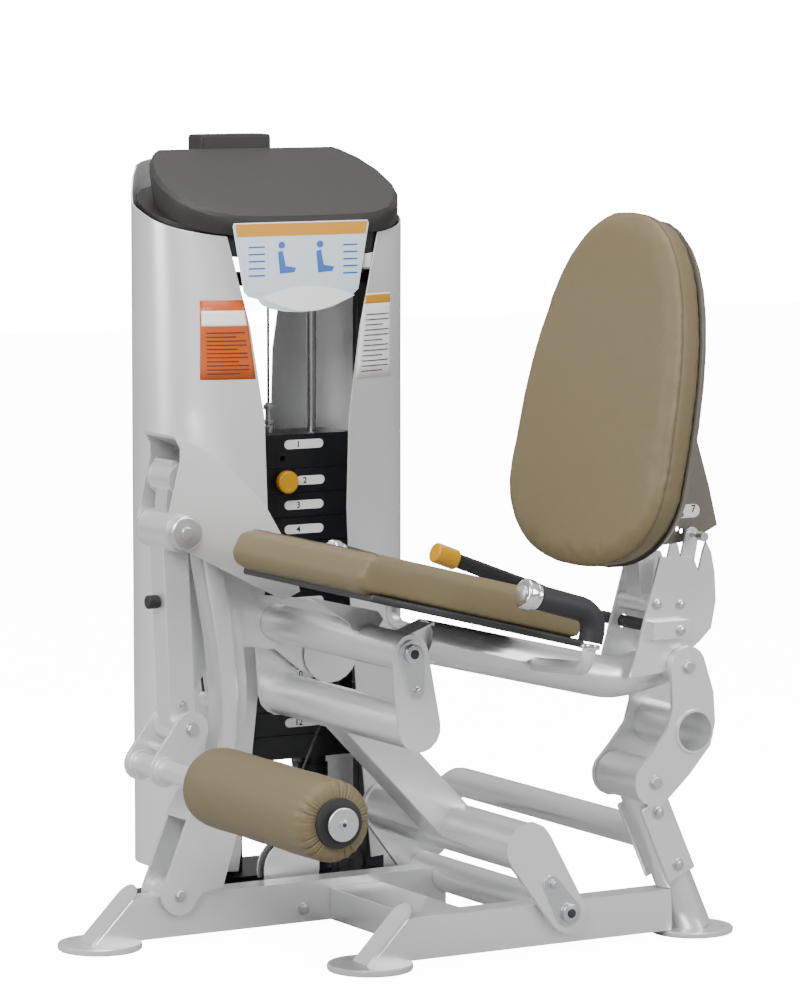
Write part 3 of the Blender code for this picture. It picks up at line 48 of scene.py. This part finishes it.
def at(x, y, z):
    """A place in the row frame, from the layout's corner."""
    return Vector((x, y, z)) - ORIGIN


# ---------------------------------------------------------------- materials
def material(name, color, rough=0.4, metal=0.0, grain=0.0, scale=200.0, coat=0.0, vary=0.0, gloss=0.5):
    """A procedural surface: colour drift, roughness drift and a fine bump."""
    mat = bpy.data.materials.new(name)
    mat.use_nodes = True
    tree = mat.node_tree
    shader = tree.nodes["Principled BSDF"]
    shader.inputs["Base Color"].default_value = (*color, 1.0)
    shader.inputs["Roughness"].default_value = rough
    shader.inputs["Metallic"].default_value = metal
    shader.inputs["Coat Weight"].default_value = coat
    shader.inputs["Specular IOR Level"].default_value = gloss
    coords = tree.nodes.new("ShaderNodeTexCoord")
    noise = tree.nodes.new("ShaderNodeTexNoise")
    noise.inputs["Scale"].default_value = scale
    noise.inputs["Detail"].default_value = 6.0
    tree.links.new(coords.outputs["Object"], noise.inputs["Vector"])
    if grain:
        bump = tree.nodes.new("ShaderNodeBump")
        bump.inputs["Strength"].default_value = grain
        bump.inputs["Distance"].default_value = 0.0006
        tree.links.new(noise.outputs["Fac"], bump.inputs["Height"])
        tree.links.new(bump.outputs["Normal"], shader.inputs["Normal"])
    broad = tree.nodes.new("ShaderNodeTexNoise")
    broad.inputs["Scale"].default_value = 3.5
    broad.inputs["Detail"].default_value = 4.0
    tree.links.new(coords.outputs["Object"], broad.inputs["Vector"])
    drift = tree.nodes.new("ShaderNodeMapRange")
    drift.inputs["To Min"].default_value = rough - 0.05
    drift.inputs["To Max"].default_value = rough + 0.07
    tree.links.new(broad.outputs["Fac"], drift.inputs["Value"])
    tree.links.new(drift.outputs["Result"], shader.inputs["Roughness"])
    if vary:
        ramp = tree.nodes.new("ShaderNodeMix")
        ramp.data_type = "RGBA"
        ramp.inputs["A"].default_value = (*[c * (1 - vary) for c in color], 1.0)
        ramp.inputs["B"].default_value = (*[min(1.0, c * (1 + vary)) for c in color], 1.0)
        tree.links.new(broad.outputs["Fac"], ramp.inputs["Factor"])
        tree.links.new(ramp.outputs["Result"], shader.inputs["Base Color"])
    return mat


M = {
    "silver_paint": material("silver paint", (0.77, 0.775, 0.78), 0.31, 0.68, 0.05, 900.0, 0.3, 0.03),
    "shroud_paint": material("shroud paint", (0.84, 0.845, 0.85), 0.31, 0.60, 0.05, 900.0, 0.3, 0.02),
    "cap_plastic": material("cap plastic", (0.024, 0.023, 0.022), 0.46, 0.0, 0.30, 1500.0, 0.0, 0.05, 0.30),
    "placard": material("placard", (0.62, 0.73, 0.83), 0.30, 0.0, 0.0, 50.0, 0.4, 0.03),
    "black_paint": material("black paint", (0.010, 0.011, 0.013), 0.42, 0.0, 0.08, 700.0, 0.0, 0.1, 0.35),
    "chrome": material("chrome", (0.82, 0.82, 0.83), 0.13, 1.0, 0.0, 50.0),
    "zinc": material("zinc plate", (0.60, 0.62, 0.63), 0.30, 0.95, 0.05, 400.0, 0.0, 0.05),
    "cable": material("coated cable", (0.012, 0.012, 0.014), 0.38, 0.0, 0.1, 900.0),
    "pulley_nylon": material("nylon", (0.016, 0.016, 0.018), 0.45, 0.0, 0.1, 600.0),
    "vinyl": material("tan vinyl", (0.143, 0.113, 0.059), 0.50, 0.0, 0.35, 700.0, 0.0, 0.03, 0.30),
    "rubber": material("grip rubber", (0.018, 0.018, 0.020), 0.55, 0.0, 0.25, 900.0, 0.0, 0.0, 0.40),
    "yellow": material("yellow plastic", (0.62, 0.30, 0.001), 0.32, 0.0, 0.05, 400.0, 0.3),
    "taupe_paint": material("taupe paint", (0.150, 0.136, 0.108), 0.38, 0.15, 0.05, 700.0, 0.2, 0.03),
}
WHITE = material("label white", (0.93, 0.93, 0.92), 0.35, 0.0, 0.0, 50.0, 0.2)
ORANGE = material("label orange", (0.50, 0.080, 0.004), 0.38, 0.0, 0.0, 50.0, 0.2)
BAND = material("label yellow", (0.62, 0.27, 0.001), 0.35, 0.0, 0.0, 50.0, 0.2)
BLUE = material("label blue", (0.035, 0.13, 0.48), 0.35, 0.0, 0.0, 50.0, 0.2)
# near-black: printed numerals and bars, and painted shade standing for the hex socket and the keeper
# recesses
INK_AND_SHADE = material("label ink and painted shade", (0.02, 0.02, 0.022), 0.40, 0.0, 0.0, 50.0, 0.1)
SEAM = material("seam thread", (0.085, 0.066, 0.036), 0.60, 0.0, 0.3, 900.0)
FOAM = material("end cap black", (0.012, 0.012, 0.013), 0.60, 0.0, 0.2, 600.0)

slots = {entry["node"]: entry["material_slot"] for entry in frame["record"]["subparts"]}
home = {name: body for body, names in frame["record"]["behaviour"]["bodies"].items() for name in names}
for name, obj in nodes.items():
    obj.data.materials.clear()
    obj.data.materials.append(M[slots[name]])
    weld = obj.modifiers.new("weld", "WELD")
    weld.merge_threshold = 0.00002
    if slots[name] not in ("vinyl", "cable"):
        bevel = obj.modifiers.new("edge", "BEVEL")
        bevel.width = 0.0009
        bevel.segments = 2
        bevel.limit_method = "ANGLE"
        bevel.angle_limit = math.radians(34)
        bevel.harden_normals = True
        bevel.use_clamp_overlap = True
    obj.data.shade_smooth()
    flat = obj.modifiers.new("normals", "WEIGHTED_NORMAL")
    flat.keep_sharp = False


# ---------------------------------------------------------------- making pieces
def add(name, bm, mat, body, smooth=True):
    mesh = bpy.data.meshes.new(name)
    bmesh.ops.recalc_face_normals(bm, faces=bm.faces)
    bm.to_mesh(mesh)
    bm.free()
    obj = bpy.data.objects.new(name, mesh)
    bpy.context.scene.collection.objects.link(obj)
    mesh.materials.append(mat)
    if smooth:
        mesh.shade_smooth()
        mesh.set_sharp_from_angle(angle=math.radians(38))
    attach(obj, body)
    return obj


def rod(name, start, end, radius, mat, body, sides=32, rim=0.0008):
    start, end = Vector(start), Vector(end)
    bm = bmesh.new()
    turn = (end - start).to_track_quat("Z", "Y").to_matrix().to_4x4()
    place = Matrix.Translation((start + end) / 2) @ turn
    bmesh.ops.create_cone(bm, cap_ends=True, segments=sides, radius1=radius, radius2=radius,
                          depth=(end - start).length, matrix=place)
    if rim:
        sharp = [e for e in bm.edges if len(e.link_faces) == 2 and e.calc_face_angle() > 0.9]
        bmesh.ops.bevel(bm, geom=sharp, offset=rim, segments=2, affect="EDGES", profile=0.5)
    return add(name, bm, mat, body)


def disc(name, x, y, z, radius, depth, mat, body, sides=32):
    edge = min(0.0008, abs(depth) / 4)
    return rod(name, at(x, y, z), at(x + depth, y, z), radius, mat, body, sides, edge)


def bolt(name, x, y, z, body, size=0.0085, side=1.0):
    """A washer and a hexagon head with a bevelled rim on a face at x."""
    disc(name + "_washer", x, y, z, size * 1.35, side * 0.0018, M["zinc"], body)
    disc(name + "_head", x + side * 0.0018, y, z, size, side * 0.0055, M["zinc"], body, 6)


def wire(name, points, radius, mat, body, cyclic=False):
    curve = bpy.data.curves.new(name, "CURVE")
    curve.dimensions = "3D"
    curve.bevel_depth = radius
    curve.bevel_resolution = 3
    curve.use_fill_caps = True
    spline = curve.splines.new("POLY")
    spline.points.add(len(points) - 1)
    for knot, place in zip(spline.points, points):
        knot.co = (*place, 1.0)
    spline.use_cyclic_u = cyclic
    obj = bpy.data.objects.new(name, curve)
    bpy.context.scene.collection.objects.link(obj)
    curve.materials.append(mat)
    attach(obj, body)
    return obj


def panel(name, x, points, depth, mat, body):
    """A flat sticker or plate in (y, z) standing on a face at x."""
    bm = bmesh.new()
    ring = [bm.verts.new(at(x, y, z)) for y, z in points]
    face = bm.faces.new(ring)
    made = bmesh.ops.extrude_face_region(bm, geom=[face])
    moved = [g for g in made["geom"] if isinstance(g, bmesh.types.BMVert)]
    bmesh.ops.translate(bm, vec=(depth, 0.0, 0.0), verts=moved)
    return add(name, bm, mat, body, smooth=False)


def stadium(y, z, width, height, steps=8):
    points = []
    r = height / 2
    for index in range(steps + 1):
        a = math.radians(-90 + 180 * index / steps)
        points.append((y + width / 2 - r + r * math.cos(a), z + r * math.sin(a)))
    for index in range(steps + 1):
        a = math.radians(90 + 180 * index / steps)
        points.append((y - width / 2 + r + r * math.cos(a), z + r * math.sin(a)))
    return points


def number(name, text, x, y, z, size, body):
    """A raised numeral facing +X."""
    curve = bpy.data.curves.new(name, "FONT")
    curve.body = text
    curve.size = size
    curve.extrude = 0.0001
    curve.offset = size * 0.022
    curve.align_x = "CENTER"
    curve.align_y = "CENTER"
    obj = bpy.data.objects.new(name, curve)
    bpy.context.scene.collection.objects.link(obj)
    obj.matrix_world = (Matrix.Translation(at(x, y, z)) @ Matrix.Rotation(math.radians(90), 4, "Z")
                        @ Matrix.Rotation(math.radians(90), 4, "X"))
    bpy.context.view_layer.update()
    mesh = bpy.data.meshes.new_from_object(obj.evaluated_get(bpy.context.evaluated_depsgraph_get()))
    mesh.transform(obj.matrix_world)
    bpy.data.objects.remove(obj, do_unlink=True)
    flat = bpy.data.objects.new(name, mesh)
    bpy.context.scene.collection.objects.link(flat)
    mesh.materials.clear()
    mesh.materials.append(INK_AND_SHADE)
    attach(flat, body)
    return flat


# ---------------------------------------------------------------- cushions
def cushion(node, voxel, cap, pressure=4.0, seconds=20):
    """The pad blown up a little by a cloth simulation, then smoothed."""
    source = nodes[node]
    mesh = source.data.copy()
    obj = bpy.data.objects.new(node + "_cover", mesh)
    bpy.context.scene.collection.objects.link(obj)
    bm = bmesh.new()
    bm.from_mesh(mesh)
    bmesh.ops.remove_doubles(bm, verts=bm.verts, dist=0.00005)
    bm.to_mesh(mesh)
    bm.free()
    remesh = obj.modifiers.new("voxels", "REMESH")
    remesh.mode = "VOXEL"
    remesh.voxel_size = voxel
    relax = obj.modifiers.new("relax", "SMOOTH")
    relax.factor = 0.5
    relax.iterations = 6
    apply_all(obj)
    rest = [v.co.copy() for v in obj.data.vertices]
    cloth = obj.modifiers.new("cloth", "CLOTH")
    cloth.settings.use_pressure = True
    cloth.settings.uniform_pressure_force = pressure
    cloth.settings.tension_stiffness = 15
    cloth.settings.compression_stiffness = 15
    cloth.settings.effector_weights.gravity = 0.0
    scene = bpy.context.scene
    for step in range(1, seconds + 1):
        scene.frame_set(step)
    graph = bpy.context.evaluated_depsgraph_get()
    swollen = [v.co.copy() for v in obj.evaluated_get(graph).data.vertices]
    obj.modifiers.remove(cloth)
    scene.frame_set(1)
    for vert, old, new in zip(obj.data.vertices, rest, swollen):
        move = new - old
        if move.length > cap:
            move = move.normalized() * cap
        vert.co = old + move
    smooth = obj.modifiers.new("smooth", "SMOOTH")
    smooth.factor = 0.5
    smooth.iterations = 8
    fine = obj.modifiers.new("fine", "SUBSURF")
    fine.levels = 1
    fine.render_levels = 1
    apply_all(obj)
    obj.data.shade_smooth()
    obj.data.materials.clear()
    obj.data.materials.append(M["vinyl"])
    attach(obj, home[node])
    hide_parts(node)
    return obj


def apply_all(obj):
    bpy.context.view_layer.update()
    graph = bpy.context.evaluated_depsgraph_get()
    mesh = bpy.data.meshes.new_from_object(obj.evaluated_get(graph), depsgraph=graph)
    obj.modifiers.clear()
    obj.data = mesh


seat_cover = cushion("seat_pad", 0.006, 0.006)
back_cover = cushion("back_pad", 0.006, 0.006)


def roller_cover():
    """The roller's vinyl sleeve, gathered in folds round its outer end."""
    x0, x1, radius = 0.236, 0.672, 0.0705
    around, bm = 192, bmesh.new()
    rows = []
    profile = [(x0, 0.0235), (x0, 0.050), (x0 + 0.003, 0.060), (x0 + 0.012, 0.0680), (x0 + 0.030, radius)]
    for k in range(1, 11):
        profile.append((x0 + 0.03 + (x1 - x0 - 0.062) * k / 10, radius + 0.0006 * math.sin(k * 1.7)))
    profile += [(x1 - 0.020, 0.0697), (x1 - 0.010, 0.0665), (x1 - 0.004, 0.0600), (x1 - 0.001, 0.0520),
                (x1, 0.0425), (x1, 0.0235)]
    for x, r in profile:
        row = []
        near = max(0.0, min(1.0, (x - (x1 - 0.045)) / 0.040))
        for k in range(around):
            a = 2 * math.pi * k / around
            fold = math.sin(26 * a + 0.7 * math.sin(3 * a)) ** 3
            grow = 0.0026 * near * near * fold * (0.6 + 0.4 * math.sin(5 * a + 1))
            if r < 0.030:
                grow = 0.0
            rr = r + grow
            inset = 0.8 * abs(grow) * (r < 0.066)
            row.append(bm.verts.new(at(x - inset, 0.107 + rr * math.cos(a), 0.3205 + rr * math.sin(a))))
        rows.append(row)
    for low, high in zip(rows, rows[1:] + rows[:1]):
        for k in range(around):
            n = (k + 1) % around
            bm.faces.new((low[k], low[n], high[n], high[k]))
    obj = add("roller_cover", bm, M["vinyl"], "roller")
    obj.data.shade_smooth()
    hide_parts("roller_pad")


roller_cover()
disc("roller_end_ring", 0.6793, 0.107, 0.3205, 0.0425, 0.0026, FOAM, "roller", 48)
disc("roller_end_screw", 0.6963, 0.107, 0.3205, 0.0085, 0.0016, M["zinc"], "roller_swing", 24)
# painted shade: a flat black hexagon sheet stands for the shade inside the screw's hex socket
disc("roller_end_hex", 0.6980, 0.107, 0.3205, 0.0042, 0.0003, INK_AND_SHADE, "roller_swing", 6)

# ---------------------------------------------------------------- fasteners
bolt("rail_bolt", 0.0257, 0.403, 0.037, "base")
bolt("brace_bolt_high", 0.4415, 0.9015, 0.2328, "base")
bolt("brace_bolt_low", 0.4415, 0.9445, 0.1342, "base")
bolt("arm_bolt", 0.0257, 0.158, 0.431, "lever_arm", 0.0065)
bolt("link_head_bolt", 0.0431, 0.150, 0.839, "ground_link", 0.0095)
bolt("link_head_bolt_far", -0.0431, 0.150, 0.839, "ground_link", 0.0095, -1.0)
bolt("bracket_bolt_a", 0.4563, 0.8860, 0.6135, "seat", 0.0075)
bolt("bracket_bolt_b", 0.4563, 0.9360, 0.6100, "seat", 0.0065)
bolt("stop_bolt", 0.4746, 0.9250, 0.5660, "seat", 0.0075)
for tag, (py, pz), (qy, qz), x in (("top", (0.387, 0.558), (0.405, 0.424), 0.4442),
                                   ("low", (0.708, 0.071), (0.628, 0.193), 0.4492)):
    a, b = Vector((py, pz)), Vector((qy, qz))
    t = a + (b - a).normalized() * 0.066
    side = (b - a).normalized().orthogonal()
    ring = []
    for k in range(13):
        ang = math.atan2(a.y - b.y, a.x - b.x) - math.pi / 2 + math.pi * k / 12
        ring.append((a.x + 0.0240 * math.cos(ang), a.y + 0.0240 * math.sin(ang)))
    for k in range(13):
        ang = math.atan2(b.y - a.y, b.x - a.x) - math.pi / 2 + math.pi * k / 12
        ring.append((t.x + 0.0150 * math.cos(ang), t.y + 0.0150 * math.sin(ang)))
    panel(f"keeper_{tag}_plate", x + 0.0003, ring, 0.0008, M["zinc"], "front_rocker")
    disc(f"keeper_{tag}_boss", x + 0.001, py, pz, 0.0168, 0.0075, M["zinc"], "front_rocker", 40)
    # painted shade: a thin black disc stands for the shade inside the boss's recess
    disc(f"keeper_{tag}_recess", x + 0.0086, py, pz, 0.0085, 0.0006, INK_AND_SHADE, "front_rocker", 24)
    bolt(f"keeper_{tag}_screw", x + 0.001, t.x, t.y, "front_rocker", 0.0062)
for x in (0.067, 0.733):
    rod(f"grip_collar_{x:.3f}", at(x, 0.5668, 0.5890), at(x, 0.5678, 0.5966), 0.0178,
        M["chrome"], "seat", 40)
    rod(f"cap_button_{x:.3f}", at(x, 0.4322, 0.6939), at(x, 0.4296, 0.6947), 0.0130,
        M["zinc"], "seat", 40)

# ---------------------------------------------------------------- labels
for index in range(12):
    z = 0.864 if index == 0 else 0.796 - (index - 1) * 0.0455
    width = 0.083 if index != 1 else 0.060
    y = 0.534 if index != 1 else 0.548
    body = "lifted_weights" if index < 2 else "base"
    panel(f"plate_label_{index + 1}", -0.2049, stadium(y, z, width, 0.017), 0.0004, WHITE, body)
    number(f"plate_number_{index + 1}", str(index + 1), -0.2043, y - 0.012, z - 0.0005, 0.0165, body)


def placard_art():
    x = -0.0981
    field = [(0.336, 1.279), (0.606, 1.279), (0.586, 1.155), (0.362, 1.155)]
    band = [(0.333, 1.282), (0.609, 1.282), (0.6055, 1.259), (0.3375, 1.259)]
    panel("placard_field", x, field, 0.0004, M["placard"], "base")
    panel("placard_band", x + 0.0005, band, 0.0004, BAND, "base")
    lens = []
    for k in range(17):
        t = k / 16
        lens.append((0.386 + 0.196 * t, 1.146 - 0.026 * math.sin(math.pi * t)))
    for k in range(1, 16):
        t = k / 16
        lens.append((0.582 - 0.196 * t, 1.148 + 0.018 * math.sin(math.pi * t)))
    panel("placard_lens", x + 0.0005, lens, 0.0004, WHITE, "base")
    for k, y in enumerate((0.425, 0.505)):
        figure = [(y, 1.190), (y + 0.030, 1.192), (y + 0.034, 1.200), (y + 0.012, 1.204),
                  (y + 0.006, 1.232), (y - 0.004, 1.230)]
        head = stadium(y + 0.004, 1.242, 0.014, 0.013)
        panel(f"placard_seat_{k}", x + 0.0005, figure, 0.0004, BLUE, "base")
        panel(f"placard_head_{k}", x + 0.0005, head, 0.0004, BLUE, "base")
    for k in range(5):
        z = 1.238 - 0.013 * k
        for y, w in ((0.360, 0.034), (0.558, 0.030)):
            line = [(y, z), (y + w, z), (y + w, z + 0.003), (y, z + 0.003)]
            panel(f"placard_line_{k}_{w}", x + 0.0005, line, 0.0003, BLUE, "base")


def shroud_label(name, wing, low, high, z0, z1, mat, lift):
    """A sticker laid on a shroud wing; low and high are its (y, y) ends at z0 and at z1."""
    columns, levels = 12, 6
    inward = Vector((-1.0, 0.0, 0.0))
    deepest = at(-0.200, 0.0, 0.0).x
    bm = bmesh.new()
    rows = []
    for level in range(levels + 1):
        t = level / levels
        start, stop = (a + (b - a) * t for a, b in zip(low, high))
        row = []
        for i in range(columns + 1):
            y = start + (stop - start) * i / columns
            z = z0 + (z1 - z0) * t
            _, spot, facing, _ = nodes[wing].ray_cast(at(0.0, y, z), inward)
            if spot.x < deepest:   # past the wing's edge, so the sticker stops at the edge
                _, spot, facing, _ = nodes[wing].closest_point_on_mesh(at(-0.100, y, z))
            row.append(bm.verts.new(spot + facing * lift))
        rows.append(row)
    for below, above in zip(rows, rows[1:]):
        for i in range(columns):
            bm.faces.new((below[i], below[i + 1], above[i + 1], above[i]))
    obj = add(name, bm, mat, "base")
    sheet = obj.modifiers.new("sheet", "SOLIDIFY")
    sheet.thickness = 0.0004
    sheet.offset = 0.0
    return obj


def label_set(name, wing, low, high, z0, z1, mat, blocks, rows):
    """A sticker with blocks of colour and short bars in place of writing."""
    def span(part, z):
        t = (z - z0) / (z1 - z0)
        start, stop = (a + (b - a) * t for a, b in zip(low, high))
        return start + (stop - start) * part[0], start + (stop - start) * part[1]

    shroud_label(name, wing, low, high, z0, z1, mat, 0.0005)
    for tag, (first, last, paint) in enumerate(blocks):
        part = (0.03, 0.97)
        low_span, high_span = span(part, first), span(part, last)
        shroud_label(f"{name}_block_{tag}", wing, low_span, high_span, first, last, paint, 0.0010)
    for tag, z in enumerate(rows):
        part = (0.12, 0.90 if tag % 3 else 0.70)
        top = z + 0.0016
        shroud_label(f"{name}_bar_{tag}", wing, span(part, z), span(part, top), z, top, INK_AND_SHADE, 0.0015)


placard_art()
label_set("label_orange", "shroud_wing_front", (0.284, 0.382), (0.284, 0.361),
          0.998, 1.143, ORANGE,
          ((1.096, 1.124, WHITE),), [1.008 + 0.0075 * k for k in range(11)])
label_set("label_white", "shroud_wing_rear", (0.593, 0.684), (0.614, 0.684),
          0.990, 1.146, WHITE,
          ((1.128, 1.144, BAND),), [1.002 + 0.0095 * k for k in range(12)])
panel("sector_label", 0.4353, stadium(0.965, 0.775, 0.052, 0.024), 0.0004, WHITE, "back_rest")
number("sector_number_6", "6", 0.4359, 0.952, 0.771, 0.019, "back_rest")
number("sector_number_7", "7", 0.4359, 0.977, 0.778, 0.019, "back_rest")


# ---------------------------------------------------------------- seams
def egg(angle, shrink):
    s, c = math.sin(angle), math.cos(angle)
    power, length = (2.3, 0.174) if s < 0 else (2.45, 0.478)
    u = 0.260 * math.copysign(abs(c) ** (2 / power), c)
    v = 0.170 + length * math.copysign(abs(s) ** (2 / power), s)
    return u * (1 - shrink / 0.250), 0.300 + (v - 0.300) * (1 - shrink / 0.300)


lean = Vector((0.0, 0.127, 0.638)).normalized()
normal = Vector((0.0, -lean.z, lean.y))
foot = Vector((0.400, 0.731, 0.687))
def laid_on(cover, points, lift=0.0004):
    """The points moved to the nearest place on a cover, a little proud of it."""
    placed = []
    for point in points:
        _, spot, facing, _ = cover.closest_point_on_mesh(point)
        placed.append(spot + facing * lift)
    return placed


for tag, out, shrink in (("front", -0.0085, 0.0005), ("rear", -0.0500, 0.0070)):
    loop = []
    for k in range(160):
        u, v = egg(2 * math.pi * k / 160, shrink)
        loop.append(foot + lean * v + normal * out + Vector((u, 0, 0)) - ORIGIN)
    wire(f"back_seam_{tag}", laid_on(back_cover, loop), 0.0011, SEAM, "back_rest", True)
roll = [at(0.175 + 0.450 * k / 40, 0.2175, 0.766) for k in range(41)]
wire("seat_seam_front", laid_on(seat_cover, roll), 0.0011, SEAM, "seat")

# ---------------------------------------------------------------- studio
camera = bpy.data.cameras.new("camera")
camera.lens = 173.1
camera.sensor_width = 36.0
camera.sensor_fit = "AUTO"
camera.clip_end = 60.0
eye = bpy.data.objects.new("camera", camera)
bpy.context.scene.collection.objects.link(eye)
bpy.context.scene.camera = eye
yaw, pitch = math.radians(59.68), math.radians(6.09)
looking = Vector((-math.sin(yaw) * math.cos(pitch), math.cos(yaw) * math.cos(pitch), -math.sin(pitch)))
eye.location = at(7.513, -3.772, 1.710)
eye.rotation_euler = looking.to_track_quat("-Z", "Y").to_euler()


def lamp(name, place, target, size, watts, color=(1.0, 1.0, 1.0)):
    data = bpy.data.lights.new(name, "AREA")
    data.shape = "RECTANGLE"
    data.size, data.size_y = size
    data.energy = watts
    data.color = color
    obj = bpy.data.objects.new(name, data)
    bpy.context.scene.collection.objects.link(obj)
    obj.location = place
    obj.rotation_euler = (Vector(target) - Vector(place)).to_track_quat("-Z", "Y").to_euler()
    return obj


lamp("key", (3.2, -3.4, 3.6), (0.1, 0.0, 0.6), (2.2, 2.2), 290)
lamp("side", (4.2, 2.6, 2.4), (0.1, 0.1, 0.6), (1.6, 2.4), 120)
lamp("front", (-1.6, -4.2, 2.0), (0.0, 0.0, 0.6), (2.0, 2.0), 95)
lamp("top", (0.0, 0.2, 4.2), (0.0, 0.0, 0.5), (3.0, 3.0), 120)


def seen_or_lit(tree, seen, lit):
    """A shader that shows one thing to the camera and another to the light that falls on the machine."""
    path = tree.nodes.new("ShaderNodeLightPath")
    mix = tree.nodes.new("ShaderNodeMixShader")
    tree.links.new(path.outputs["Is Camera Ray"], mix.inputs["Fac"])
    tree.links.new(lit, mix.inputs[1])
    tree.links.new(seen, mix.inputs[2])
    return mix.outputs["Shader"]


world = bpy.data.worlds.new("studio")
world.use_nodes = True
sky = world.node_tree
fill = sky.nodes["Background"]
spot = sky.nodes.new("ShaderNodeTexCoord")
split = sky.nodes.new("ShaderNodeSeparateXYZ")
sky.links.new(spot.outputs["Generated"], split.inputs["Vector"])
height = sky.nodes.new("ShaderNodeMapRange")
height.inputs["From Min"].default_value = -0.3
height.inputs["From Max"].default_value = 0.8
height.inputs["To Min"].default_value = 0.22
height.inputs["To Max"].default_value = 0.80
sky.links.new(split.outputs["Z"], height.inputs["Value"])
sky.links.new(height.outputs["Result"], fill.inputs["Strength"])
fill.inputs["Color"].default_value = (1.0, 1.0, 1.0, 1.0)
sweep = sky.nodes.new("ShaderNodeBackground")
sweep.inputs["Color"].default_value = (1.0, 1.0, 1.0, 1.0)
sweep.inputs["Strength"].default_value = 16.0
shown = seen_or_lit(sky, sweep.outputs["Background"], fill.outputs["Background"])
sky.links.new(shown, sky.nodes["World Output"].inputs["Surface"])
bpy.context.scene.world = world

bm = bmesh.new()
bmesh.ops.create_grid(bm, x_segments=1, y_segments=1, size=14.0, matrix=Matrix.Translation((0, 0, -0.0006)))
mesh = bpy.data.meshes.new("floor")
bm.to_mesh(mesh)
bm.free()
floor = bpy.data.objects.new("floor", mesh)
bpy.context.scene.collection.objects.link(floor)
paper = material("floor", (0.92, 0.92, 0.92), 0.6)
glow = paper.node_tree.nodes.new("ShaderNodeEmission")
glow.inputs["Strength"].default_value = 13.5
both = paper.node_tree.nodes.new("ShaderNodeAddShader")
plain = paper.node_tree.nodes["Principled BSDF"].outputs["BSDF"]
paper.node_tree.links.new(plain, both.inputs[0])
paper.node_tree.links.new(glow.outputs["Emission"], both.inputs[1])
bounce = paper.node_tree.nodes.new("ShaderNodeBsdfDiffuse")
bounce.inputs["Color"].default_value = (0.38, 0.38, 0.38, 1.0)
shown = seen_or_lit(paper.node_tree, both.outputs["Shader"], bounce.outputs["BSDF"])
paper.node_tree.links.new(shown, paper.node_tree.nodes["Material Output"].inputs["Surface"])
mesh.materials.append(paper)
